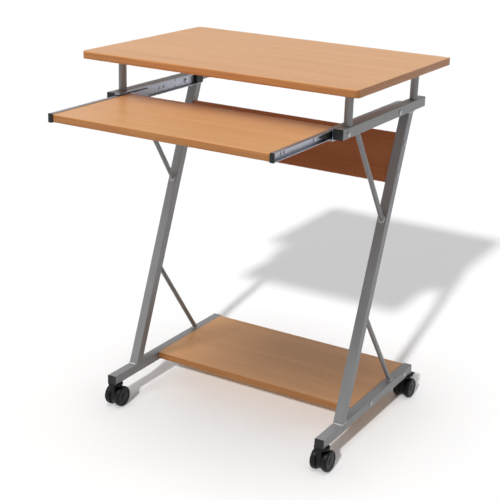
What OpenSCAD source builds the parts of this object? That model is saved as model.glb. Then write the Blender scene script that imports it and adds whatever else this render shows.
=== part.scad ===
// Computer desk with a pull-out keyboard tray, on a Z-shaped steel tube frame with four casters.
// Millimetres, +Z up, +X to the user's right. The user sits on the -Y side.
// The origin is on the floor, in the middle of the overall box with the tray pulled out.
// Lengths along Y are first given from the front edge of the table top and then moved to the origin.

/* [Boards] */
// Width of the table top
top_width = 600; // [580:5:700]
// Depth of the table top
top_depth = 420; // [410:5:460]
// Height of the table top's upper face above the floor
top_height = 770; // [760:5:800]
// Thickness of every board
board = 15; // [12:1:18]
// Radius of the table top's front corners
top_corner = 9; // [5:1:40]
// Depth of the keyboard tray
tray_depth = 239; // [220:1:250]
// Height of the keyboard tray's upper face above the floor
tray_height = 684; // [682:0.5:686]
// Depth of the bottom shelf
shelf_depth = 260; // [240:5:265]
// Height of the back panel, measured along the legs
panel_height = 101; // [90:1:120]

/* [Frame] */
// Width of the frame over the outside of its tubes
frame_width = 523; // [505:1:560]
// Outer width of the square tube
tube = 20; // [20:1:22]
// Wall of the square tube
tube_wall = 1.2; // [1:0.1:1.5]
// Length of the foot rails with their end caps
foot_length = 424; // [415:1:440]
// Height of the foot rails' upper face above the floor
foot_height = 74.5; // [74.5:0.5:80]
// Length of the upper rails with their end caps
rail_length = 371; // [366:1:380]
// Height of the upper rails' upper face above the floor
rail_height = 689; // [688:0.5:690]
// Lean of the legs from the vertical, in degrees
leg_lean = 20.6; // [19.5:0.1:21]
// Outer diameter of the posts that carry the table top
post_diameter = 16; // [14:1:18]
// Diameter of the brace rods
brace_diameter = 10; // [8:0.5:12]

/* [Slides] */
// Length of the slide channels and of the runners
slide_length = 300; // [290:1:305]
// Height of the slide channels
channel_height = 23; // [23:0.5:26]
// How far the tray is pulled out in front of the table top
tray_pull = 173; // [168:1:176]

/* [Casters] */
// Diameter of the caster wheels
wheel_diameter = 45; // [44:0.5:46]
// Width of a caster over both wheels
caster_width = 38; // [36:1:42]
// Distance of the wheel axle behind the swivel axis
caster_trail = 6; // [4:0.5:8]

/* [Hidden] */
$fn = 48;

left = -1;
right = 1;

// Colours
laminate = [0.85, 0.66, 0.50];
grey_steel = [0.55, 0.56, 0.58];
zinc = [0.72, 0.73, 0.76];
black_plastic = [0.10, 0.10, 0.11];

// Tube frame, along Y from the table top's front edge
clearance = 0.1;
tube_round = 1.5;
tube_inner = tube - 2 * tube_wall;
cap_rim = 1.5;
cap_plug = 5;
cap_plug_wall = 2;
rail_mid_x = (frame_width - tube) / 2;
rail_outer_x = frame_width / 2;
rail_inner_x = rail_outer_x - tube;
rail_bottom = rail_height - tube;
foot_bottom = foot_height - tube;
foot_front_y = 23;
rail_front_y = 30;
leg_depth = tube / cos(leg_lean);
leg_foot_y = 100.4;
leg_mid_y = leg_foot_y + leg_depth / 2;

// Posts and braces
post_inset = 38.5;
post_y = [rail_front_y + post_inset, rail_front_y + rail_length - post_inset];
top_underside = top_height - board;
brace_overrun = 20;
upper_brace_rail_y = 108.7;
upper_brace_leg_z = 466;
lower_brace_foot_y = 349;
lower_brace_leg_z = 276.4;

// Slides: the channel's web lies on the rail, the runner's web on the tray's edge
sheet = 1.2;
channel_web_x = rail_inner_x - sheet;
channel_lip_x = rail_inner_x - 9.5;
channel_z = tray_height - board / 2 + 0.5;
channel_inner_half = channel_height / 2 - sheet;
runner_web_x = rail_inner_x - 11.5;
runner_lip_x = channel_web_x - 1.6;
runner_half = channel_inner_half - 2.3;
runner_front_y = -tray_pull;
runner_cap_depth = 3;
runner_cap_lip = 0.5;
ball_diameter = 1.8;
ball_count = 6;
ball_z = (channel_inner_half + runner_half) / 2;
strip_length = 88;
strip_front_y = rail_front_y + 4;
strip_sheet = 0.5;
strip_margin = 0.5;
bumper_length = 24;
bumper_overhang = 4;
channel_bolt_y = [53, 277];
// Each hole in the channel's web: its place along Y, its height from the web's middle and its radius
channel_holes = [[110, 0, 3], [195, 0, 3], [238, 6, 2], [238, -6, 1.6], [298, 0, 2.4]];
channel_slot_y = 178;
channel_slot_half = 3;
channel_slot_radius = 1.6;
runner_slot_y = -140;
runner_slot_half = 2;
runner_slot_radius = 1.4;
cap_tongue = 8;
cap_tongue_width = 3;
tray_half = runner_web_x;
tray_screw_y = [-125, -20, 52];
lever_depth = 4.4;
// The release lever's places along Y: its thin end, where its foot begins, where it is full, and its rear
lever_y = [-18, -6, 16, 46];
lever_thin = 5;

// Back panel on the legs' centre lines, and the shelf between the foot rails
panel_z = 579;
panel_bolt_gap = 64;
shelf_rear_y = 443;
shelf_screw_y = [237, 406];
shelf_screw_z = foot_height - board / 2;

// Screws and bolts
screw_head_radius = 5.2;
screw_head_height = 2.6;
screw_rim_height = 1.56;
screw_crown_radius = 3.64;
m6_radius = 2.9;
m5_radius = 2.4;
tray_screw_radius = 1.75;
tray_screw_depth = 11;
tray_head_radius = 3.4;
tray_head_height = 1.4;
board_bolt_depth = 25;
hole_overrun = 1;
slide_bolt_beyond = 4.6;
nut_radius = 4.6;
nut_height = 3;
drive_width = 1.2;
post_bolt_depth = 10;

// Casters, about their own swivel axis
caster_inset = 14;
stem_y = [foot_front_y + caster_inset, foot_front_y + foot_length - caster_inset];
wheel_radius = wheel_diameter / 2;
tyre_round = 4;
stem_radius = 4;
bearing_gap = 0.05;
stem_bore = stem_radius + bearing_gap;
stem_low_z = 31;
stem_end_gap = 0.4;
stem_boss_height = 8;
stem_boss_radius = tube_inner / 2 - 1.8;
washer_sheet = 0.6;
washer_radius = 7.5;
collar_radius = 16;
collar_top_z = foot_bottom - washer_sheet - 0.3;
collar_low_z = collar_top_z - 3.4;
hood_half = 5.5;
hood_radius = wheel_radius - 4;
hood_cheek = 4;
neck_half = 12;
wheel_gap = 0.6;
wheel_inner_x = hood_half + wheel_gap;
wheel_outer_x = caster_width / 2;
axle_radius = 2.5;
axle_half = wheel_outer_x - 2.4;
face_recess = 0.8;
hub_radius = 6;
bore_end_gap = 0.3;

// Brake lever, about its pivot on the hood
lever_pivot_y = 10;
lever_pivot_z = collar_low_z - 2.4;
lever_pin_radius = 1.25;
lever_end_radius = 2.1;
lever_tip_y = 32;
lever_half = 12;
lever_arm_gap = 0.3;
lever_arm_width = 2.9;
lever_plate_y = 19;
lever_plate_sheet = 3.2;
lever_plate_gap = 0.4;
pad_x = 10;
pad_width = 3.6;
pad_depth = 3.4;
pad_low_z = wheel_diameter - 1.5;

// The middle of the overall box along Y
box_front_y = runner_front_y - runner_cap_depth;
box_rear_y = stem_y[1] + lever_tip_y;
box_middle_y = (box_front_y + box_rear_y) / 2;

function leg_front_y(z) = leg_foot_y + (z - foot_height) * tan(leg_lean);
function leg_rear_y(z) = leg_front_y(z) + leg_depth;

// Moves children from the table top's front edge to the origin
module in_place() {
    translate([0, -box_middle_y, 0]) children();
}

// Children are drawn for the right side, and mirrored for the left one
module on_side(side) {
    if (side == left) mirror([1, 0, 0]) in_place() children();
    else in_place() children();
}

// A 2D square with round corners
module rounded_square(size, radius) {
    square([size, size - 2 * radius], center = true);
    square([size - 2 * radius, size], center = true);
    for (x = [-1, 1], y = [-1, 1])
        translate([x, y] * (size / 2 - radius)) circle(radius);
}

// A square tube that stands on the XY plane
module square_tube(length) {
    linear_extrude(length) difference() {
        rounded_square(tube, tube_round);
        square(tube_inner, center = true);
    }
}

// A square tube along +Y
module rail_tube(length) {
    rotate([-90, 0, 0]) square_tube(length);
}

// A prism along X from an outline in the YZ plane
module side_prism(half_width, outline) {
    translate([-half_width, 0, 0]) rotate([90, 0, 90])
        linear_extrude(2 * half_width) polygon(outline);
}

// A cylinder along X, from x0 to x1, at a place in the YZ plane
module x_rod(x0, x1, y, z, radius) {
    translate([x0, y, z]) rotate([0, 90, 0]) cylinder(r = radius, h = x1 - x0);
}

// The hole for a fastener along X that goes in as deep as this from a board's end at edge_x
module board_hole(edge_x, depth, y, z, radius) {
    reach = depth + hole_overrun;
    x_rod(edge_x - reach, edge_x + reach, y, z, radius + clearance);
}

// A pan-head screw: its head's seat is at the origin and its shank runs along -Z
module pan_screw(radius, length) {
    translate([0, 0, -length]) cylinder(r = radius, h = length);
    difference() {
        union() {
            cylinder(r = screw_head_radius, h = screw_rim_height);
            translate([0, 0, screw_rim_height])
                cylinder(r1 = screw_head_radius, r2 = screw_crown_radius,
                         h = screw_head_height - screw_rim_height);
        }
        for (turn = [0, 90]) rotate(turn)
            translate([-screw_head_radius / 2, -drive_width / 2, screw_head_height / 2])
                cube([screw_head_radius, drive_width, screw_head_height]);
    }
}

// Boards

module table_top() {
    color(laminate) in_place() difference() {
        translate([0, 0, top_underside]) linear_extrude(board) union() {
            translate([-top_width / 2, top_corner]) square([top_width, top_depth - top_corner]);
            translate([-top_width / 2 + top_corner, 0]) square([top_width - 2 * top_corner, top_corner]);
            for (x = [-1, 1]) translate([x * (top_width / 2 - top_corner), top_corner])
                circle(top_corner, $fn = 64);
        }
        for (side = [left, right], y = post_y)
            translate([side * rail_mid_x, y, top_underside - 1])
                cylinder(r = m6_radius + clearance, h = post_bolt_depth + 2);
    }
}

module keyboard_tray() {
    color(laminate) in_place() difference() {
        translate([-tray_half, runner_front_y, tray_height - board])
            cube([2 * tray_half, tray_depth, board]);
        for (side = [left, right], y = tray_screw_y)
            board_hole(side * tray_half, tray_screw_depth, y, channel_z, tray_screw_radius);
    }
}

module bottom_shelf() {
    color(laminate) in_place() difference() {
        translate([-rail_inner_x, shelf_rear_y - shelf_depth, foot_height - board])
            cube([2 * rail_inner_x, shelf_depth, board]);
        for (side = [left, right], y = shelf_screw_y)
            board_hole(side * rail_inner_x, board_bolt_depth, y, shelf_screw_z, m6_radius);
    }
}

// Places children on the legs' centre plane: local Z runs up along the lean
module on_leg_plane() {
    translate([0, leg_mid_y + (panel_z - foot_height) * tan(leg_lean), panel_z])
        rotate([-leg_lean, 0, 0]) children();
}

module back_panel() {
    color(laminate) in_place() on_leg_plane() difference() {
        cube([2 * rail_inner_x, board, panel_height], center = true);
        for (side = [left, right], z = [-1, 1])
            board_hole(side * rail_inner_x, board_bolt_depth, 0, z * panel_bolt_gap / 2, m6_radius);
    }
}

// Tube frame

module foot_rail(side) {
    tube_length = foot_length - 2 * cap_rim;
    color(grey_steel) on_side(side) difference() {
        union() {
            translate([rail_mid_x, foot_front_y + cap_rim, foot_height - tube / 2]) rail_tube(tube_length);
            for (y = stem_y) translate([rail_mid_x, y, foot_bottom + tube_wall])
                cylinder(r = stem_boss_radius, h = stem_boss_height);
        }
        for (y = stem_y) translate([rail_mid_x, y, foot_bottom - 1])
            cylinder(r = stem_radius + clearance, h = stem_boss_height + tube_wall + 2);
        for (y = shelf_screw_y)
            x_rod(rail_inner_x - 1, rail_outer_x + 1, y, shelf_screw_z, m6_radius + clearance);
    }
}

module leg(side) {
    color(grey_steel) on_side(side) difference() {
        intersection() {
            translate([rail_mid_x, leg_mid_y, foot_height]) rotate([-leg_lean, 0, 0])
                translate([0, 0, -tube]) square_tube((rail_bottom - foot_height) / cos(leg_lean) + 2 * tube);
            translate([rail_mid_x - tube, 0, foot_height])
                cube([2 * tube, top_depth, rail_bottom - foot_height]);
        }
        on_leg_plane() for (z = [-1, 1])
            x_rod(rail_inner_x - 1, rail_outer_x + 1, 0, z * panel_bolt_gap / 2, m6_radius + clearance);
    }
}

module upper_rail(side) {
    tube_length = rail_length - 2 * cap_rim;
    color(grey_steel) on_side(side) difference() {
        translate([rail_mid_x, rail_front_y + cap_rim, rail_height - tube / 2]) rail_tube(tube_length);
        for (y = channel_bolt_y)
            x_rod(rail_inner_x - 1, rail_outer_x + 1, y, channel_z, m5_radius + clearance);
        for (y = post_y) translate([rail_mid_x, y, rail_bottom - 1])
            cylinder(r = m6_radius + clearance, h = tube + 2);
    }
}

// A round rod from the point a to the point b of the YZ plane, longer by the overrun at both ends
module brace_rod(a, b) {
    run = b - a;
    length = norm(run);
    translate([rail_mid_x, a[0], a[1]]) rotate([-atan2(run[0], run[1]), 0, 0])
        translate([0, 0, -brace_overrun]) cylinder(d = brace_diameter, h = length + 2 * brace_overrun);
}

module upper_brace(side) {
    low_z = upper_brace_leg_z - 2 * brace_overrun;
    color(grey_steel) on_side(side) intersection() {
        brace_rod([upper_brace_rail_y, rail_bottom],
                  [leg_front_y(upper_brace_leg_z), upper_brace_leg_z]);
        translate([rail_mid_x, 0, 0]) side_prism(tube, [
            [0, rail_bottom], [leg_front_y(rail_bottom), rail_bottom],
            [leg_front_y(low_z), low_z], [0, low_z]
        ]);
    }
}

module lower_brace(side) {
    high_z = lower_brace_leg_z + 2 * brace_overrun;
    color(grey_steel) on_side(side) intersection() {
        brace_rod([leg_rear_y(lower_brace_leg_z), lower_brace_leg_z], [lower_brace_foot_y, foot_height]);
        translate([rail_mid_x, 0, 0]) side_prism(tube, [
            [leg_rear_y(foot_height), foot_height], [foot_length, foot_height],
            [foot_length, high_z], [leg_rear_y(high_z), high_z]
        ]);
    }
}

module post(side, y) {
    color(grey_steel) on_side(side) translate([rail_mid_x, y, rail_height]) difference() {
        cylinder(d = post_diameter, h = top_underside - rail_height);
        translate([0, 0, -1])
            cylinder(d = post_diameter - 2 * tube_wall, h = top_underside - rail_height + 2);
    }
}

// An end cap whose rim faces -Y: the plug runs into the tube along +Y
module tube_cap() {
    rotate([-90, 0, 0]) {
        linear_extrude(cap_rim) rounded_square(tube, tube_round);
        translate([0, 0, cap_rim]) linear_extrude(cap_plug) difference() {
            square(tube_inner - clearance, center = true);
            square(tube_inner - 2 * cap_plug_wall, center = true);
        }
    }
}

module tube_caps() {
    color(black_plastic) for (side = [left, right]) on_side(side) {
        for (end = [[foot_front_y, foot_length, foot_height], [rail_front_y, rail_length, rail_height]]) {
            translate([rail_mid_x, end[0], end[2] - tube / 2]) tube_cap();
            translate([rail_mid_x, end[0] + end[1], end[2] - tube / 2]) rotate(180) tube_cap();
        }
    }
}

// Slides

// A channel along +Y whose web is at web_x and whose flanges reach lip_x
module channel(web_x, lip_x, half_height, length) {
    toward = sign(lip_x - web_x);
    low_x = min(web_x, lip_x);
    high_x = max(web_x, lip_x);
    difference() {
        translate([low_x, 0, -half_height]) cube([high_x - low_x, length, 2 * half_height]);
        translate([low_x + toward * sheet, -1, sheet - half_height])
            cube([high_x - low_x, length + 2, 2 * (half_height - sheet)]);
    }
}

// A slot along Z through a web whose low X face is at web_x
module web_slot(web_x, y, half, radius) {
    for (z = [-half, half]) x_rod(web_x - 1, web_x + sheet + 1, y, z, radius);
    translate([web_x - 1, y - radius, -half]) cube([sheet + 2, 2 * radius, 2 * half]);
}

module slide_channel(side) {
    color(zinc) on_side(side) translate([0, 0, channel_z]) difference() {
        translate([0, rail_front_y, 0])
            channel(rail_inner_x, channel_lip_x, channel_height / 2, slide_length);
        for (y = channel_bolt_y)
            x_rod(channel_web_x - 1, rail_inner_x + 1, y, 0, m5_radius + clearance);
        for (hole = channel_holes)
            x_rod(channel_web_x - 1, rail_inner_x + 1, hole[0], hole[1], hole[2]);
        web_slot(channel_web_x, channel_slot_y, channel_slot_half, channel_slot_radius);
    }
}

module slide_runner(side) {
    color(zinc) on_side(side) translate([0, 0, channel_z]) difference() {
        translate([0, runner_front_y, 0])
            channel(runner_web_x, runner_lip_x, runner_half, slide_length);
        for (y = tray_screw_y)
            x_rod(runner_web_x - 1, runner_web_x + sheet + 1, y, 0, tray_screw_radius + clearance);
        web_slot(runner_web_x, runner_slot_y, runner_slot_half, runner_slot_radius);
    }
}

function ball_y(index) = strip_front_y + strip_length * (index + 0.5) / ball_count;

module ball_strips(side) {
    low_x = channel_lip_x + strip_margin;
    high_x = channel_web_x - strip_margin;
    color(zinc) on_side(side) translate([0, 0, channel_z]) for (row = [-1, 1]) difference() {
        translate([low_x, strip_front_y, row * ball_z - strip_sheet / 2])
            cube([high_x - low_x, strip_length, strip_sheet]);
        for (index = [0 : ball_count - 1])
            translate([(low_x + high_x) / 2, ball_y(index), row * ball_z - strip_sheet])
                cylinder(d = ball_diameter + clearance, h = 2 * strip_sheet);
    }
}

module slide_balls() {
    mid_x = (channel_lip_x + channel_web_x) / 2;
    color(zinc) for (side = [left, right]) on_side(side) translate([0, 0, channel_z])
        for (row = [-1, 1], index = [0 : ball_count - 1])
            translate([mid_x, ball_y(index), row * ball_z]) sphere(d = ball_diameter);
}

module runner_cap(side) {
    cap_half = runner_half + runner_cap_lip;
    color(black_plastic) on_side(side)
        translate([runner_web_x, runner_front_y - runner_cap_depth, channel_z]) {
        translate([0, 0, -cap_half])
            cube([runner_lip_x - runner_web_x, runner_cap_depth, 2 * cap_half]);
        translate([sheet + clearance, runner_cap_depth, -runner_half + sheet + clearance])
            cube([cap_tongue_width, cap_tongue, 2 * (runner_half - sheet - clearance)]);
    }
}

module channel_bumper(side) {
    rear_y = rail_front_y + slide_length;
    plug_half = channel_inner_half - clearance;
    color(black_plastic) on_side(side) translate([0, 0, channel_z]) {
        translate([channel_lip_x, rear_y - bumper_length + bumper_overhang, -plug_half])
            cube([channel_web_x - clearance - channel_lip_x, bumper_length, 2 * plug_half]);
    }
}

module release_lever(side) {
    half = runner_half - sheet - clearance;
    color(black_plastic) on_side(side)
        translate([runner_web_x + sheet + clearance + lever_depth / 2, 0, channel_z])
            side_prism(lever_depth / 2, [
                [lever_y[0], half], [lever_y[3], half], [lever_y[3], -half],
                [lever_y[2], -half], [lever_y[1], half - lever_thin]
            ]);
}

// Fasteners

module slide_bolts() {
    color(zinc) for (side = [left, right], y = channel_bolt_y) on_side(side)
        translate([rail_outer_x, y, channel_z]) rotate([0, 90, 0])
            pan_screw(m5_radius, tube + slide_bolt_beyond);
}

module slide_nuts() {
    color(zinc) for (side = [left, right], y = channel_bolt_y) on_side(side)
        translate([channel_web_x - nut_height, y, channel_z]) rotate([0, 90, 0]) difference() {
            cylinder(r = nut_radius, h = nut_height, $fn = 6);
            translate([0, 0, -1]) cylinder(r = m5_radius + bearing_gap, h = nut_height + 2);
        }
}

module panel_bolts() {
    color(zinc) for (side = [left, right]) on_side(side) on_leg_plane() for (z = [-1, 1])
        translate([rail_outer_x, 0, z * panel_bolt_gap / 2]) rotate([0, 90, 0])
            pan_screw(m6_radius, tube + board_bolt_depth);
}

module shelf_screws() {
    color(zinc) for (side = [left, right], y = shelf_screw_y) on_side(side)
        translate([rail_outer_x, y, shelf_screw_z]) rotate([0, 90, 0])
            pan_screw(m6_radius, tube + board_bolt_depth);
}

module tray_screws() {
    color(zinc) for (side = [left, right], y = tray_screw_y) on_side(side)
        translate([runner_web_x + sheet, y, channel_z]) rotate([0, 90, 0]) {
            cylinder(r = tray_head_radius, h = tray_head_height);
            translate([0, 0, -sheet - tray_screw_depth])
                cylinder(r = tray_screw_radius, h = tray_screw_depth + sheet);
        }
}

module post_bolts() {
    color(zinc) for (side = [left, right], y = post_y) on_side(side)
        translate([rail_mid_x, y, rail_bottom]) rotate([180, 0, 0])
            pan_screw(m6_radius, top_underside - rail_bottom + post_bolt_depth);
}

// Casters: the swivel axis of a caster is upright through its place on the foot rail

module at_caster(side, y) {
    on_side(side) translate([rail_mid_x, y, 0]) children();
}

module caster_stem(side, y) {
    color(zinc) at_caster(side, y) {
        translate([0, 0, stem_low_z])
            cylinder(r = stem_radius, h = foot_bottom + tube_wall + stem_boss_height - stem_low_z);
        translate([0, 0, foot_bottom - washer_sheet]) cylinder(r = washer_radius, h = washer_sheet);
    }
}

module caster_hood(side, y, with_brake) {
    color(black_plastic) at_caster(side, y) difference() {
        union() {
            side_prism(hood_half, [
                [-neck_half, collar_low_z + 1], [neck_half, collar_low_z + 1],
                [caster_trail + hood_radius - 1, wheel_radius + hood_cheek],
                [caster_trail, wheel_radius],
                [caster_trail - hood_radius + 1, wheel_radius + hood_cheek]
            ]);
            x_rod(-hood_half, hood_half, caster_trail, wheel_radius, hood_radius);
            translate([0, 0, collar_low_z])
                cylinder(r = collar_radius, h = collar_top_z - collar_low_z);
            if (with_brake)
                x_rod(-hood_half - lever_arm_width, hood_half + lever_arm_width,
                      lever_pivot_y, lever_pivot_z, lever_pin_radius);
        }
        translate([0, 0, stem_low_z - stem_end_gap]) cylinder(r = stem_bore, h = collar_top_z);
        x_rod(-hood_half - 1, hood_half + 1, caster_trail, wheel_radius, axle_radius + bearing_gap / 2);
    }
}

module caster_axle(side, y) {
    color(zinc) at_caster(side, y)
        x_rod(-axle_half, axle_half, caster_trail, wheel_radius, axle_radius);
}

// One of a caster's two wheels: end is -1 on the caster's left and 1 on its right
module wheel(side, y, end) {
    width = wheel_outer_x - wheel_inner_x;
    color(black_plastic) at_caster(side, y) mirror([end < 0 ? 1 : 0, 0, 0])
        translate([wheel_inner_x, caster_trail, wheel_radius]) rotate([0, 90, 0]) difference() {
            rotate_extrude($fn = 96) union() {
                square([wheel_radius - tyre_round, width]);
                translate([0, tyre_round]) square([wheel_radius, width - 2 * tyre_round]);
                for (z = [tyre_round, width - tyre_round])
                    translate([wheel_radius - tyre_round, z]) circle(tyre_round);
            }
            translate([0, 0, -1])
                cylinder(r = axle_radius + bearing_gap, h = axle_half - wheel_inner_x + 1 + bore_end_gap);
            translate([0, 0, width - face_recess]) difference() {
                cylinder(r = wheel_radius - tyre_round - 1, h = 1);
                cylinder(r = hub_radius, h = 1);
            }
        }
}

module brake_lever(side, y) {
    inner_x = hood_half + lever_arm_gap;
    plate_low_z = collar_low_z - lever_plate_gap - lever_plate_sheet;
    arm_low_z = lever_pivot_z - lever_end_radius;
    color(black_plastic) at_caster(side, y) difference() {
        union() {
            for (end = [-1, 1]) {
                x0 = end < 0 ? -inner_x - lever_arm_width : inner_x;
                x_rod(x0, x0 + lever_arm_width, lever_pivot_y, lever_pivot_z, lever_end_radius);
                translate([x0, lever_pivot_y, arm_low_z])
                    cube([lever_arm_width, lever_plate_y - lever_pivot_y, 2 * lever_end_radius]);
                translate([end * pad_x - pad_width / 2, lever_plate_y, pad_low_z])
                    cube([pad_width, pad_depth, plate_low_z - pad_low_z]);
            }
            translate([-lever_half, lever_plate_y, plate_low_z])
                cube([2 * lever_half, lever_tip_y - lever_plate_y, lever_plate_sheet]);
        }
        x_rod(-lever_half, lever_half, lever_pivot_y, lever_pivot_z, lever_pin_radius + bearing_gap);
    }
}

table_top();
keyboard_tray();
bottom_shelf();
back_panel();
foot_rail(left);  // foot_rail_left
foot_rail(right);  // foot_rail_right
leg(left);  // leg_left
leg(right);  // leg_right
upper_rail(left);  // upper_rail_left
upper_rail(right);  // upper_rail_right
upper_brace(left);  // upper_brace_left
upper_brace(right);  // upper_brace_right
lower_brace(left);  // lower_brace_left
lower_brace(right);  // lower_brace_right
post(left, post_y[0]);  // post_front_left
post(right, post_y[0]);  // post_front_right
post(left, post_y[1]);  // post_rear_left
post(right, post_y[1]);  // post_rear_right
tube_caps();
slide_channel(left);  // slide_channel_left
slide_channel(right);  // slide_channel_right
slide_runner(left);  // slide_runner_left
slide_runner(right);  // slide_runner_right
ball_strips(left);  // ball_strips_left
ball_strips(right);  // ball_strips_right
slide_balls();
runner_cap(left);  // runner_cap_left
runner_cap(right);  // runner_cap_right
channel_bumper(left);  // channel_bumper_left
channel_bumper(right);  // channel_bumper_right
release_lever(left);  // release_lever_left
release_lever(right);  // release_lever_right
slide_bolts();
slide_nuts();
panel_bolts();
shelf_screws();
tray_screws();
post_bolts();
caster_stem(left, stem_y[0]);  // caster_stem_front_left
caster_hood(left, stem_y[0], false);  // caster_hood_front_left
caster_axle(left, stem_y[0]);  // caster_axle_front_left
wheel(left, stem_y[0], -1);  // wheel_front_left_a
wheel(left, stem_y[0], 1);  // wheel_front_left_b
caster_stem(right, stem_y[0]);  // caster_stem_front_right
caster_hood(right, stem_y[0], false);  // caster_hood_front_right
caster_axle(right, stem_y[0]);  // caster_axle_front_right
wheel(right, stem_y[0], -1);  // wheel_front_right_a
wheel(right, stem_y[0], 1);  // wheel_front_right_b
caster_stem(left, stem_y[1]);  // caster_stem_rear_left
caster_hood(left, stem_y[1], true);  // caster_hood_rear_left
caster_axle(left, stem_y[1]);  // caster_axle_rear_left
wheel(left, stem_y[1], -1);  // wheel_rear_left_a
wheel(left, stem_y[1], 1);  // wheel_rear_left_b
brake_lever(left, stem_y[1]);  // brake_lever_rear_left
caster_stem(right, stem_y[1]);  // caster_stem_rear_right
caster_hood(right, stem_y[1], true);  // caster_hood_rear_right
caster_axle(right, stem_y[1]);  // caster_axle_rear_right
wheel(right, stem_y[1], -1);  // wheel_rear_right_a
wheel(right, stem_y[1], 1);  // wheel_rear_right_b
brake_lever(right, stem_y[1]);  // brake_lever_rear_right
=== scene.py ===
import math
import bmesh
import bpy
import numpy as np
from mathutils import Matrix, Vector


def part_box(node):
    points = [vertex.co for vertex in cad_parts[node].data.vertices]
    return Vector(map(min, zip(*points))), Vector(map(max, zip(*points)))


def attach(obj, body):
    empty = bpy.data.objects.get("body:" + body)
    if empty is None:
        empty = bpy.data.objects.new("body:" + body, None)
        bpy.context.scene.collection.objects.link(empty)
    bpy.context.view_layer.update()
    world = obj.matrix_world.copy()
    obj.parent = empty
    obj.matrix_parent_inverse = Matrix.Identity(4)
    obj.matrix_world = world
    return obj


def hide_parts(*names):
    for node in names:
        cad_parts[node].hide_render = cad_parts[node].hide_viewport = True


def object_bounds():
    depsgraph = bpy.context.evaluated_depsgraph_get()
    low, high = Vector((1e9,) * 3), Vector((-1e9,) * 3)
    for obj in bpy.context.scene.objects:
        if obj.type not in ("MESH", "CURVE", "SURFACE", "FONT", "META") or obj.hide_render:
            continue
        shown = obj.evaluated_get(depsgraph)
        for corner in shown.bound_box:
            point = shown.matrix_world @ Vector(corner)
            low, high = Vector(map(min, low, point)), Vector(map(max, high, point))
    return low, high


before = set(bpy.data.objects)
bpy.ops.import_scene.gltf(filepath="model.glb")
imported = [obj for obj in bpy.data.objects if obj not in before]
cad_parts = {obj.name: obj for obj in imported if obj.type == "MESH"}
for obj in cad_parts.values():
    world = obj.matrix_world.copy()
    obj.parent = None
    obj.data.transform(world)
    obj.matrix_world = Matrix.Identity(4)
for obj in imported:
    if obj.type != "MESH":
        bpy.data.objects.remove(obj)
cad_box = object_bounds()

# The studio: a wide pale floor, a camera at chest height off the desk's right front corner, two soft lights
# from above, a low one that only gives the floor its long shadow, and a white surround. Shader arithmetic
# is defined here, because the floor's paint is the first to use it.
scene = bpy.context.scene
scene.view_settings.view_transform = "Standard"
desk_middle = (np.array(cad_box[0]) + np.array(cad_box[1])) / 2


def place_camera(azimuth, elevation, roll, distance, target, lens):
    """A camera on a sphere about the target, looking at it and turned by roll about its own line of sight."""
    az, el, turn = (math.radians(angle) for angle in (azimuth, elevation, roll))
    back = Vector((math.sin(az) * math.cos(el), -math.cos(az) * math.cos(el), math.sin(el)))
    right = Vector((0, 0, 1)).cross(back).normalized()
    up = back.cross(right)
    turned_right = right * math.cos(turn) + up * math.sin(turn)
    turned_up = up * math.cos(turn) - right * math.sin(turn)
    camera = bpy.data.objects.new("camera", bpy.data.cameras.new("camera"))
    camera.data.lens = lens
    camera.data.sensor_width = 36
    camera.matrix_world = (Matrix.Translation(Vector(target) + back * distance)
                           @ Matrix((turned_right, turned_up, back)).transposed().to_4x4())
    scene.collection.objects.link(camera)
    scene.camera = camera


place_camera(azimuth=30.35, elevation=19.28, roll=1.84, distance=2.401,
             target=(0.0022, 0.0155, desk_middle[2] - 0.0107), lens=84.2)


def sun(name, azimuth, elevation, softness, strength):
    """A far light at this azimuth, turning right from the front, and this elevation. The softness is the
    angle in degrees that it is wide."""
    az, el = math.radians(azimuth), math.radians(elevation)
    lamp = bpy.data.objects.new(name, bpy.data.lights.new(name, "SUN"))
    lamp.data.angle = math.radians(softness)
    lamp.data.energy = strength
    toward = Vector((math.sin(az) * math.cos(el), -math.cos(az) * math.cos(el), math.sin(el)))
    lamp.rotation_euler = toward.to_track_quat("Z", "Y").to_euler()
    scene.collection.objects.link(lamp)
    return lamp


overhead_light = sun("overhead_light", azimuth=0, elevation=80, softness=30, strength=0.8)
desk_light = sun("desk_light", azimuth=-14, elevation=58, softness=22, strength=1.65)
floor_light = sun("floor_light", azimuth=11, elevation=32, softness=2.5, strength=2.95)

surround = bpy.data.worlds.new("surround")
surround.use_nodes = True
background = surround.node_tree.nodes["Background"]
background.inputs["Color"].default_value = (1, 1, 1, 1)
# The white walls light matt faces weakly, show more in gloss, and are seen by the camera at full strength.
matt_light, more_in_gloss, more_to_camera = 0.4, 0.22, 0.6
ray_kind = surround.node_tree.nodes.new("ShaderNodeLightPath")


def wall_light(ray, share):
    """A Math node that adds this share to its third socket, but only for one kind of ray."""
    adder = surround.node_tree.nodes.new("ShaderNodeMath")
    adder.operation = "MULTIPLY_ADD"
    surround.node_tree.links.new(ray_kind.outputs[ray], adder.inputs[0])
    adder.inputs[1].default_value = share
    return adder


in_gloss = wall_light("Is Glossy Ray", more_in_gloss)
in_gloss.inputs[2].default_value = matt_light
to_camera = wall_light("Is Camera Ray", more_to_camera)
surround.node_tree.links.new(in_gloss.outputs[0], to_camera.inputs[2])
surround.node_tree.links.new(to_camera.outputs[0], background.inputs["Strength"])
scene.world = surround


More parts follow.
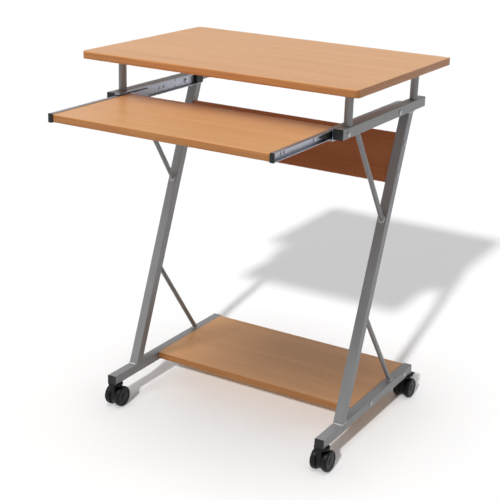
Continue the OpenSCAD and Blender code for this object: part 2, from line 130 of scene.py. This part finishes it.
class Value:
    """A shader socket that takes part in ordinary arithmetic: each operator adds its Math node."""

    def __init__(self, finish, link):
        self.finish = finish
        self.link = link

    def maths(self, operation, first, second):
        return self.finish.node("ShaderNodeMath", {"operation": operation}, {0: first, 1: second})

    def __add__(self, other):
        return self.maths("ADD", self, other)

    def __radd__(self, other):
        return self.maths("ADD", other, self)

    def __sub__(self, other):
        return self.maths("SUBTRACT", self, other)

    def __rsub__(self, other):
        return self.maths("SUBTRACT", other, self)

    def __rmul__(self, other):
        return self.maths("MULTIPLY", other, self)

    def __abs__(self):
        return self.maths("ABSOLUTE", self, 0)


# A Mix node's colour sockets: it has others of the same names for numbers and vectors.
mix_factor, mix_first, mix_second, mix_result = 0, 6, 7, 2


class Finish:
    """A material. Constants go straight to its shader's sockets; node() adds any other node."""

    def __init__(self, name, constants):
        self.material = bpy.data.materials.new(name)
        self.material.use_nodes = True
        self.tree = self.material.node_tree
        self.shader = self.tree.nodes["Principled BSDF"]
        self.fill(self.shader, constants)

    def fill(self, node, sockets):
        """Links a value to its socket, or writes a constant into it."""
        for key, value in sockets.items():
            if isinstance(value, Value):
                self.tree.links.new(value.link, node.inputs[key])
            else:
                node.inputs[key].default_value = value

    def node(self, kind, settings, sockets, output=0):
        """A new node of this type: its settings are made first, then its sockets are filled."""
        made = self.tree.nodes.new(kind)
        for name, value in settings.items():
            setattr(made, name, value)
        self.fill(made, sockets)
        return Value(self, made.outputs[output])

    def space(self, size, middle=(0, 0, 0), turn=(0, 0, 0)):
        """The place on the piece, measured from the middle along turned axes in units of size, in metres."""
        place = self.node("ShaderNodeTexCoord", {}, {}, "Object")
        return self.node("ShaderNodeMapping", {"vector_type": "TEXTURE"},
                         {"Vector": place, "Location": middle, "Rotation": turn, "Scale": size})

    def noise(self, space, detail=2, roughness=0.5):
        """Smooth random values from 0 to 1, with one blob to each unit of the space."""
        return self.node("ShaderNodeTexNoise", {},
                         {"Vector": space, "Scale": 1, "Detail": detail, "Roughness": roughness})

    def step(self, low, high, value):
        """0 below low, 1 above high, and a smooth rise between them."""
        return self.node("ShaderNodeMapRange", {"interpolation_type": "SMOOTHSTEP"},
                         {"Value": value, "From Min": low, "From Max": high})

    def mix(self, factor, first, second):
        """The first colour where the factor is 0, the second where it is 1, and blends between them."""
        colours = {key: value if isinstance(value, Value) else (*value, 1)
                   for key, value in ((mix_first, first), (mix_second, second))}
        return self.node("ShaderNodeMix", {"data_type": "RGBA"}, {mix_factor: factor, **colours}, mix_result)

    def bump(self, height, distance):
        """A surface tilted as if it rose by the distance, in metres, where the height goes from 0 to 1."""
        return self.node("ShaderNodeBump", {}, {"Strength": 1, "Distance": distance, "Height": height})


def floor_sheet(half_width, lines=9):
    """A flat square sheet on the ground: x and y each run evenly from -half_width to half_width."""
    across = np.linspace(-half_width, half_width, lines)
    x, y = np.meshgrid(across, across)
    points = np.stack([x, y, np.zeros_like(x)], axis=-1).reshape(-1, 3)
    index = np.arange(lines * lines).reshape(lines, lines)
    quads = np.stack([index[:-1, :-1], index[:-1, 1:], index[1:, 1:], index[1:, :-1]], axis=-1)
    mesh = bpy.data.meshes.new("floor")
    mesh.from_pydata(points.tolist(), [], quads.reshape(-1, 4).tolist())
    return mesh


floor = bpy.data.objects.new("floor", floor_sheet(half_width=20))
scene.collection.objects.link(floor)
floor_paint = Finish("floor_paint", {"Specular IOR Level": 0.2})
mottle = floor_paint.noise(floor_paint.space((0.5, 0.5, 0.5)))
floor_paint.fill(floor_paint.shader, {
    "Base Color": floor_paint.mix(mottle, (0.90, 0.90, 0.90), (0.92, 0.92, 0.92)),
    "Roughness": 0.6 + 0.1 * mottle,
})
floor.data.materials.append(floor_paint.material)
# The floor sends no matt light back up, so the desk is lit by the lamps and the surround alone.
floor.visible_diffuse = False

# The low light falls on the floor alone, and the desk's light on everything else.
lit_floor = bpy.data.collections.new("lit_floor")
lit_floor.objects.link(floor)
floor_light.light_linking.receiver_collection = lit_floor
not_the_floor = bpy.data.collections.new("not_the_floor")
not_the_floor.objects.link(floor)
desk_light.light_linking.receiver_collection = not_the_floor
not_the_floor.collection_objects[0].light_linking.link_state = "EXCLUDE"

# The frame: two Z-shaped sides of square steel tube with round brace rods and short posts, sprayed and
# baked in one silver grey powder coat. The coat softens every cut edge and has a faint orange peel.
sides = ("left", "right")
same_point = 1e-6
flat_angle = math.radians(0.5)
sharp_angle = math.radians(32)


def finer_copy(node, body, finish, edge_radius):
    """The CAD solid with its triangles joined up where they are flat to flat_angle, smooth round faces, and
    edges sharper than sharp_angle rounded by edge_radius."""
    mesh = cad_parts[node].data.copy()
    solid = bmesh.new()
    solid.from_mesh(mesh)
    bmesh.ops.remove_doubles(solid, verts=solid.verts, dist=same_point)
    bmesh.ops.dissolve_limit(solid, angle_limit=flat_angle, verts=solid.verts, edges=solid.edges)
    for face in solid.faces:
        face.smooth = True
        face.material_index = 0
    solid.to_mesh(mesh)
    solid.free()
    mesh.set_sharp_from_angle(angle=sharp_angle)
    mesh.materials.clear()
    mesh.materials.append(finish.material)
    piece = bpy.data.objects.new(f"{node}_finished", mesh)
    scene.collection.objects.link(piece)
    rounding = piece.modifiers.new("rounding", "BEVEL")
    rounding.width = edge_radius
    rounding.segments = 2
    rounding.limit_method = "ANGLE"
    rounding.angle_limit = sharp_angle
    rounding.harden_normals = True
    evening = piece.modifiers.new("evening", "WEIGHTED_NORMAL")
    evening.keep_sharp = False
    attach(piece, body)
    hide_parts(node)


powder_coat = Finish("silver_grey_powder_coat", {"Metallic": 0.25})
peel = powder_coat.noise(powder_coat.space((0.0016, 0.0016, 0.0016)), detail=1)
cloud = powder_coat.noise(powder_coat.space((0.05, 0.05, 0.05)), detail=3)
glint = powder_coat.step(0.62, 0.74, powder_coat.noise(powder_coat.space((0.0004, 0.0004, 0.0004)), detail=0))
grey = powder_coat.mix(cloud, (0.25, 0.25, 0.255), (0.305, 0.305, 0.31))
powder_coat.fill(powder_coat.shader, {
    "Base Color": powder_coat.mix(0.5 * glint, grey, (0.40, 0.40, 0.41)),
    "Roughness": 0.34 + 0.12 * cloud,
    "Normal": powder_coat.bump(peel, 0.00006),
})

for side in sides:
    for part in ("foot_rail", "leg", "upper_rail", "upper_brace", "lower_brace", "post_front", "post_rear"):
        finer_copy(f"{part}_{side}", "frame", powder_coat, edge_radius=0.0003)

# The welds: a thin rippled bead round each leg's two ends, but not where the slide is bolted on, and
# round both ends of every brace rod. They are laid by hand and wire-brushed, so the coat on them is bright.
leg_low, leg_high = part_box("leg_right")
tube_width = leg_high[0] - leg_low[0]
leg_lean = math.radians(20.6)
leg_depth = tube_width / math.cos(leg_lean)
bead_radius = 0.0015
bead_out = 0.0004
round_points = 72


def triple_products(first, second, third):
    """Six times the signed volume of the wedges from the origin to triangles of these rows of corners."""
    return np.einsum("...i,...i", first, np.cross(second, third)).sum()


def closed_grid(name, grids, finish, looped=False):
    """One mesh from grids of points, shaped (station, around, 3). Around always closes on itself. The first
    and last stations are closed by flat faces, or joined to each other if looped. A grid whose triangles
    add up to a negative volume is taken the other way round, so that every face looks outward."""
    points, faces = [], []
    offset = 0
    for grid in grids:
        stations, around = grid.shape[:2]
        after = np.roll(grid, -1, axis=0) if looped else grid[1:]
        before = grid if looped else grid[:-1]
        turned = np.roll(before, -1, axis=1)
        volume = triple_products(before, turned, after)
        volume += triple_products(turned, np.roll(after, -1, axis=1), after)
        if not looped:
            volume += triple_products(grid[-1, :1], grid[-1], np.roll(grid[-1], -1, axis=0))
            volume -= triple_products(grid[0, :1], grid[0], np.roll(grid[0], -1, axis=0))
        if volume < 0:
            grid = grid[:, ::-1]
        index = offset + np.arange(stations * around).reshape(stations, around)
        upper = np.roll(index, -1, axis=0) if looped else index[1:]
        lower = index if looped else index[:-1]
        quads = np.stack([lower, np.roll(lower, -1, 1), np.roll(upper, -1, 1), upper], axis=-1)
        faces += quads.reshape(-1, 4).tolist()
        if not looped:
            faces += [index[0, ::-1].tolist(), index[-1].tolist()]
        points.append(grid.reshape(-1, 3))
        offset += stations * around
    mesh = bpy.data.meshes.new(name)
    mesh.from_pydata(np.concatenate(points).tolist(), [], faces)
    mesh.polygons.foreach_set("use_smooth", np.ones(len(mesh.polygons), dtype=bool))
    mesh.materials.append(finish.material)
    piece = bpy.data.objects.new(name, mesh)
    scene.collection.objects.link(piece)
    return piece


def bead(path, up, looped, spacing=0.00045, ripple=0.0019, swell=0.10, taper=0.002, tip=0.02, around=10):
    """A round section carried along the path. Its radius is bead_radius (1 + swell sin(turns)), one turn to
    each ripple length. On an open path it is also multiplied by the square root of the distance to the
    nearer end divided by the taper, kept between tip and 1."""
    if looped:
        path = np.concatenate([path, path[:1]])
    run = np.concatenate([[0], np.cumsum(np.linalg.norm(np.diff(path, axis=0), axis=1))])
    length = run[-1]
    along = np.linspace(0, length, int(length / spacing), endpoint=not looped)
    line = np.stack([np.interp(along, run, path[:, axis]) for axis in range(3)], axis=-1)
    ahead = np.roll(line, -1, 0) - np.roll(line, 1, 0) if looped else np.gradient(line, axis=0)
    out = np.cross(ahead, up)
    out /= np.linalg.norm(out, axis=1, keepdims=True)
    ripples = max(1, round(length / ripple))
    radius = bead_radius * (1 + swell * np.sin(2 * math.pi * ripples * along / length))
    if not looped:
        radius *= np.sqrt(np.clip(np.minimum(along, length - along) / taper, tip, 1))
    angle = np.linspace(0, 2 * math.pi, around, endpoint=False)
    section = np.cos(angle)[None, :, None] * out[:, None, :] + np.sin(angle)[None, :, None] * np.array(up)
    return line[:, None, :] + radius[:, None, None] * section


def leg_end(front_y, z, up, corner=0.0016, inner_stop=0.002, outer_out=0.0002):
    """A bead from the tube's inner front edge round its outer face to its inner rear edge. The path's front
    corner is a quarter circle, corner (sin t, 1 - cos t), and its rear half is the front half mirrored."""
    bend_points = 9
    bend = np.linspace(0, math.pi / 2, bend_points)[:, None]
    inner_x, outer_x = leg_low[0] + inner_stop, leg_high[0] + outer_out
    rear_y = front_y + leg_depth + bead_out
    front_y = front_y - bead_out
    turn = np.concatenate([np.sin(bend), 1 - np.cos(bend)], axis=1) * corner
    first = np.array([outer_x - corner, front_y]) + turn
    second = (first * np.array([1, -1]) + np.array([0, front_y + rear_y]))[::-1]
    outline = np.concatenate([[[inner_x, front_y]], first, second, [[inner_x, rear_y]]])
    return bead(np.column_stack([outline, np.full(len(outline), z)]), up, looped=False)


def rod_end(middle_y, middle_z, rod, face, radius):
    """A bead round a rod of this direction, where it meets a face of this normal; both lie in YZ. The path
    is an ellipse, radius cos t across and (radius / |rod . face|) sin t along the face."""
    mid_x = (leg_low[0] + leg_high[0]) / 2
    reach = radius / abs(np.dot(rod, face))
    angle = np.linspace(0, 2 * math.pi, round_points, endpoint=False)
    slope = np.array([-face[1], face[0]])
    path = np.column_stack([mid_x + radius * np.cos(angle),
                            middle_y + reach * np.sin(angle) * slope[0],
                            middle_z + reach * np.sin(angle) * slope[1]])
    return bead(path, (0, *face), looped=True)


def brace_ends(brace, hangs, leg_inset=0.0057, rail_inset=0.0061):
    """The welds of a brace: one on a level rail and one on the leg's leaning face, which lies at the leg's
    foot plus the height times the tangent of its lean. A brace that hangs goes from the upper rail down to
    the leg's front, the other from the foot rail up to its rear. The rod's axis meets the leg and the rail
    at these insets from the ends of the rod's box."""
    low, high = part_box(brace)
    radius = (high[0] - low[0]) / 2 + bead_out
    lean_y, lean_z = math.sin(leg_lean), math.cos(leg_lean)
    if hangs:
        rail_y, rail_z = low[1] + rail_inset, high[2]
        leg_z, face_shift, sign = low[2] + leg_inset, 0, 1
    else:
        rail_y, rail_z = high[1] - rail_inset, low[2]
        leg_z, face_shift, sign = high[2] - leg_inset, leg_depth, -1
    leg_y = leg_low[1] + (leg_z - leg_low[2]) * math.tan(leg_lean) + face_shift
    rod = np.array([leg_y - rail_y, leg_z - rail_z])
    rod /= np.linalg.norm(rod)
    return [rod_end(rail_y, rail_z, rod, np.array([0, -sign]), radius),
            rod_end(leg_y, leg_z, rod, np.array([-lean_z, lean_y]) * sign, radius)]


brushed_weld = Finish("brushed_weld", {"Metallic": 0.9})
heat = brushed_weld.noise(brushed_weld.space((0.003, 0.003, 0.003)), detail=3)
brushed_weld.fill(brushed_weld.shader, {
    "Base Color": brushed_weld.mix(heat, (0.42, 0.42, 0.43), (0.66, 0.65, 0.63)),
    "Roughness": 0.20 + 0.25 * heat,
})
leg_welds = [leg_end(leg_low[1], leg_low[2], (0, 0, 1)),
             leg_end(leg_high[1] - leg_depth, leg_high[2], (0, 0, -1))]
rod_welds = brace_ends("upper_brace_right", hangs=True) + brace_ends("lower_brace_right", hangs=False)
# The right side's beads are mirrored for the left.
mirrored = np.array([-1, 1, 1])
for name, grids, looped in (("leg_welds", leg_welds, False), ("brace_welds", rod_welds, True)):
    welds = closed_grid(name, grids + [grid * mirrored for grid in grids], brushed_weld, looped)
    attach(welds, "frame")

# The tube end caps: square plugs of moulded black plastic, pushed into the open ends of the four rails.
# Their faces have a fine spark-eroded grain that spreads the light.
moulded_black = Finish("moulded_black_plastic", {"Specular IOR Level": 0.35})
grain = moulded_black.noise(moulded_black.space((0.0005, 0.0005, 0.0005)), detail=2)
flow = moulded_black.noise(moulded_black.space((0.012, 0.012, 0.012)), detail=2)
moulded_black.fill(moulded_black.shader, {
    "Base Color": moulded_black.mix(flow, (0.009, 0.009, 0.010), (0.018, 0.018, 0.020)),
    "Roughness": 0.42 + 0.14 * grain,
    "Normal": moulded_black.bump(grain, 0.00005),
})
finer_copy("tube_caps", "frame", moulded_black, edge_radius=0.0005)

# The boards: particle board faced with beech-grain melamine, its edges closed with a browner band that
# is pressed round a soft front edge. The back panel is bolted between the legs, on their slope.
band_lip = 0.0012
sawn_corner = 0.001
eased_edge = 0.0006


def board_grid(size, front_corner, front_round, middle, lean=0.0):
    """A stack of rounded rectangles. Round each edge the outline shrinks by r(1 - cos t) as it rises by
    r sin t; r grows from eased_edge to front_round with the square of how far the outline faces the front.
    One more ring, face_ring further in, lies flat on each face. The stack is turned by lean about X."""
    corner_points, edge_points = 12, 6
    face_ring, least_corner = 0.0006, 0.0007
    half_x, half_y, half_z = np.array(size) / 2
    quarter = np.linspace(0, math.pi / 2, corner_points)
    angle = np.concatenate([quarter + turn * math.pi / 2 for turn in range(4)])
    corner_x = np.repeat([1, -1, -1, 1], corner_points)
    corner_y = np.repeat([1, 1, -1, -1], corner_points)
    facing = np.stack([np.cos(angle), np.sin(angle)], axis=-1)
    edge = eased_edge + (front_round - eased_edge) * np.clip(-facing[:, 1], 0, 1) ** 2
    corner = np.maximum(np.where(corner_y < 0, front_corner, sawn_corner), edge + least_corner)
    centre = np.stack([corner_x * (half_x - corner), corner_y * (half_y - corner)], axis=-1)
    rise = np.linspace(-math.pi / 2, 0, edge_points)
    turn = np.concatenate([[-math.pi / 2], rise, -rise[::-1], [math.pi / 2]])[:, None]
    flat = np.concatenate([[face_ring], np.zeros(2 * edge_points), [face_ring]])[:, None]
    inset = edge * (1 - np.cos(turn)) + flat
    height = edge * np.sin(turn) + np.repeat([-1, 1], edge_points + 1)[:, None] * (half_z - edge)
    plan = centre + (corner - inset)[..., None] * facing
    flat_board = np.concatenate([plan, height[..., None]], axis=-1)
    c, s = math.cos(lean), math.sin(lean)
    tilt = np.array([[1, 0, 0], [0, c, s], [0, -s, c]])
    return flat_board @ tilt.T + np.array(middle)


# Each tuple holds the shades of light wood, dark wood and rays, and of the edge band's light and dark lines.
pale_beech = ((0.715, 0.372, 0.158), (0.617, 0.300, 0.116), (0.40, 0.170, 0.064),
              (0.600, 0.260, 0.085), (0.480, 0.185, 0.055))
# The same laminate painted darker and redder: painted shade for the back panel, in the shadow of top and
# tray.
painted_shade_beech = ((0.530, 0.185, 0.070), (0.430, 0.138, 0.048), (0.22, 0.070, 0.026),
              (0.400, 0.140, 0.046), (0.320, 0.100, 0.032))


def beech(name, middle, half_thickness, shades=pale_beech, turn=0.0):
    """Printed beech: broad bands, streaks and fibres along X, with short dark rays, and an edge band."""
    wood = Finish(name, {"Specular IOR Level": 0.4})
    light, dark, ray, edge_light, edge_dark = shades
    tilt = (turn, 0, 0)
    bands = wood.noise(wood.space((0.60, 0.050, 0.050), middle, tilt), detail=2)
    streaks = wood.noise(wood.space((0.26, 0.0060, 0.0060), middle, tilt), detail=4, roughness=0.6)
    fibres = wood.noise(wood.space((0.035, 0.0009, 0.0009), middle, tilt), detail=2)
    rays = wood.step(0.60, 0.70, wood.noise(wood.space((0.011, 0.0013, 0.0013), middle, tilt), detail=1))
    figure = 0.40 * bands + 0.35 * streaks + 0.25 * fibres
    face = wood.mix(0.34 * rays, wood.mix(wood.step(0.34, 0.66, figure), light, dark), ray)
    place = wood.space((1, 1, 1), middle, tilt)
    height = abs(wood.node("ShaderNodeSeparateXYZ", {}, {"Vector": place}, "Z"))
    band = 1 - wood.step(half_thickness - band_lip, half_thickness - band_lip / 4, height)
    lines = wood.noise(wood.space((0.15, 0.15, 0.0014), middle, tilt), detail=3)
    edge = wood.mix(wood.step(0.35, 0.65, lines), edge_light, edge_dark)
    wood.fill(wood.shader, {
        "Base Color": wood.mix(band, face, edge),
        "Roughness": 0.30 + 0.10 * streaks + 0.06 * band,
        "Normal": wood.bump(fibres - 0.6 * rays, 0.00003),
    })
    return wood


def lay_board(node, body, front_corner, front_round):
    """A level board that fills its node's box."""
    low, high = (np.array(corner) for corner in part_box(node))
    middle = (low + high) / 2
    finish = beech(f"beech_of_{node}", tuple(middle), (high[2] - low[2]) / 2)
    grid = board_grid(high - low, front_corner, front_round, middle)
    piece = closed_grid(f"{node}_board", [grid], finish)
    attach(piece, body)
    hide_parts(node)


panel_low, panel_high = (np.array(corner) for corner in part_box("back_panel"))
board_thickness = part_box("bottom_shelf")[1][2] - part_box("bottom_shelf")[0][2]
# The panel is a board stood up: its thickness lies along the normal of the legs' slope. The height of its
# box is its own height times cos(lean) plus its thickness times sin(lean).
panel_height = ((panel_high[2] - panel_low[2]) - board_thickness * math.sin(leg_lean)) / math.cos(leg_lean)
panel_middle = (panel_low + panel_high) / 2
panel_turn = math.pi / 2 - leg_lean
# The back panel takes the darker shades, painted shade for the shadow that the top and tray cast on it.
panel_finish = beech("beech_of_back_panel", tuple(panel_middle), board_thickness / 2, painted_shade_beech, panel_turn)
panel_size = (panel_high[0] - panel_low[0], panel_height, board_thickness)
panel_grid = board_grid(panel_size, sawn_corner, eased_edge, panel_middle, lean=-panel_turn)
panel = closed_grid("back_panel_board", [panel_grid], panel_finish)
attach(panel, "frame")
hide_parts("back_panel")

lay_board("bottom_shelf", "frame", front_corner=sawn_corner, front_round=0.0012)
lay_board("table_top", "frame", front_corner=0.009, front_round=0.0028)
lay_board("keyboard_tray", "tray", front_corner=sawn_corner, front_round=0.0024)

# The slides: a steel channel bolted inside each upper rail, and a runner screwed to each edge of the
# tray, with two strips of balls between them. They are bent from sheet and plated in bluish zinc.
zinc = Finish("blue_zinc_plate", {"Metallic": 1.0})
patches = zinc.noise(zinc.space((0.010, 0.018, 0.010)), detail=3)
drawn = zinc.noise(zinc.space((0.0005, 0.030, 0.0005)), detail=1)
zinc.fill(zinc.shader, {
    "Base Color": zinc.mix(patches, (0.32, 0.335, 0.385), (0.52, 0.54, 0.60)),
    "Roughness": 0.24 + 0.20 * patches + 0.06 * drawn,
    "Normal": zinc.bump(drawn, 0.00002),
})
for side in sides:
    finer_copy(f"slide_channel_{side}", "frame", zinc, edge_radius=0.0003)
    finer_copy(f"slide_runner_{side}", "tray", zinc, edge_radius=0.0003)
    finer_copy(f"ball_strips_{side}", "ball_strips", zinc, edge_radius=0.0001)
    finer_copy(f"runner_cap_{side}", "tray", moulded_black, edge_radius=0.0006)
    finer_copy(f"channel_bumper_{side}", "frame", moulded_black, edge_radius=0.0006)
    finer_copy(f"release_lever_{side}", "tray", moulded_black, edge_radius=0.0005)

# The fasteners: cross-drive pan-head bolts and screws, hexagon nuts and the slides' hardened balls. They
# are polished steel, bright where the thread roller and the driver have rubbed them.
bright_steel = Finish("bright_screw_steel", {"Metallic": 1.0})
rubbed = bright_steel.noise(bright_steel.space((0.0025, 0.0025, 0.0025)), detail=3)
bright_steel.fill(bright_steel.shader, {
    "Base Color": bright_steel.mix(rubbed, (0.38, 0.38, 0.40), (0.60, 0.60, 0.62)),
    "Roughness": 0.20 + 0.22 * rubbed,
})
for node in ("slide_bolts", "panel_bolts", "shelf_screws", "post_bolts", "slide_nuts"):
    finer_copy(node, "frame", bright_steel, edge_radius=0.00025)
finer_copy("tray_screws", "tray", bright_steel, edge_radius=0.00025)
for ball_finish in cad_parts["slide_balls"].material_slots:
    ball_finish.material = bright_steel.material

# The casters: each has a zinc-plated stem in the foot rail, a black nylon hood that swivels on it, and two
# nylon wheels on a steel axle. The rear two have a brake lever that is trodden down onto the wheels.
nylon = Finish("black_nylon", {"Specular IOR Level": 0.2})
scuff = nylon.noise(nylon.space((0.004, 0.004, 0.004)), detail=4)
speckle = nylon.noise(nylon.space((0.0007, 0.0007, 0.0007)), detail=1)
nylon.fill(nylon.shader, {
    "Base Color": nylon.mix(nylon.step(0.45, 0.75, scuff), (0.006, 0.006, 0.0065), (0.015, 0.015, 0.016)),
    "Roughness": 0.30 + 0.22 * scuff,
    "Normal": nylon.bump(speckle, 0.00003),
})

# Each pair is a share of the wheel's width, from its inner face, and a share of its radius.
bore_side = ((0.80, 0.02), (0.80, 0.112), (0.02, 0.114), (0.0, 0.125), (0.0, 0.30), (0.0, 0.80))
dished_side = ((1.0, 0.80), (0.995, 0.785), (0.97, 0.775), (0.93, 0.765), (0.92, 0.74), (0.92, 0.32),
               (0.93, 0.30), (0.97, 0.285), (0.995, 0.27), (1.0, 0.24), (1.0, 0.02))


def wheel_grid(low, high, outward, shoulder_radius=0.0038, crown_drop=0.008, tread_share=0.98):
    """A profile of distance from the axle against distance along it, turned once round the X axis. It goes
    from the blind bore, over the tread, to the rim's lip, the dished web and the hub. The tread falls by
    crown_drop times the square of the way from its middle, and each shoulder is a quarter circle."""
    radius = (high[2] - low[2]) / 2
    width = high[0] - low[0]
    shoulder_points, tread_points = 7, 9
    bend = np.linspace(0, math.pi / 2, shoulder_points)
    shoulder = np.column_stack([shoulder_radius * (1 - np.cos(bend)) / width,
                                1 - crown_drop + shoulder_radius * (np.sin(bend) - 1) / radius])
    other_shoulder = (shoulder * np.array([-1, 1]) + np.array([1, 0]))[::-1]
    crown = np.linspace(-1, 1, tread_points)
    tread = np.column_stack([0.5 + tread_share * crown * (width / 2 - shoulder_radius) / width,
                             1 - crown_drop * crown ** 2])
    along, reach = np.concatenate([bore_side, shoulder, tread, other_shoulder, dished_side]).T
    turn = np.linspace(0, 2 * math.pi, round_points, endpoint=False)
    x = (low[0] + high[0]) / 2 + outward * (along - 0.5) * width
    y = (low[1] + high[1]) / 2 + radius * reach[:, None] * np.cos(turn)
    z = (low[2] + high[2]) / 2 + radius * reach[:, None] * np.sin(turn)
    return np.stack([np.broadcast_to(x[:, None], y.shape), y, z], axis=-1)


for corner in ("front_left", "front_right", "rear_left", "rear_right"):
    finer_copy(f"caster_stem_{corner}", "frame", zinc, edge_radius=0.0003)
    finer_copy(f"caster_hood_{corner}", f"swivel_{corner}", nylon, edge_radius=0.0009)
    finer_copy(f"caster_axle_{corner}", f"swivel_{corner}", zinc, edge_radius=0.0003)
    hood_low, hood_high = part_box(f"caster_hood_{corner}")
    hood_x = (hood_low[0] + hood_high[0]) / 2
    for end in "ab":
        low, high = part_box(f"wheel_{corner}_{end}")
        outward = math.copysign(1, (low[0] + high[0]) / 2 - hood_x)
        wheel = closed_grid(f"turned_wheel_{corner}_{end}", [wheel_grid(low, high, outward)], nylon)
        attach(wheel, f"wheel_{corner}_{end}")
        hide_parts(f"wheel_{corner}_{end}")
for side in sides:
    finer_copy(f"brake_lever_rear_{side}", f"brake_rear_{side}", nylon, edge_radius=0.0006)
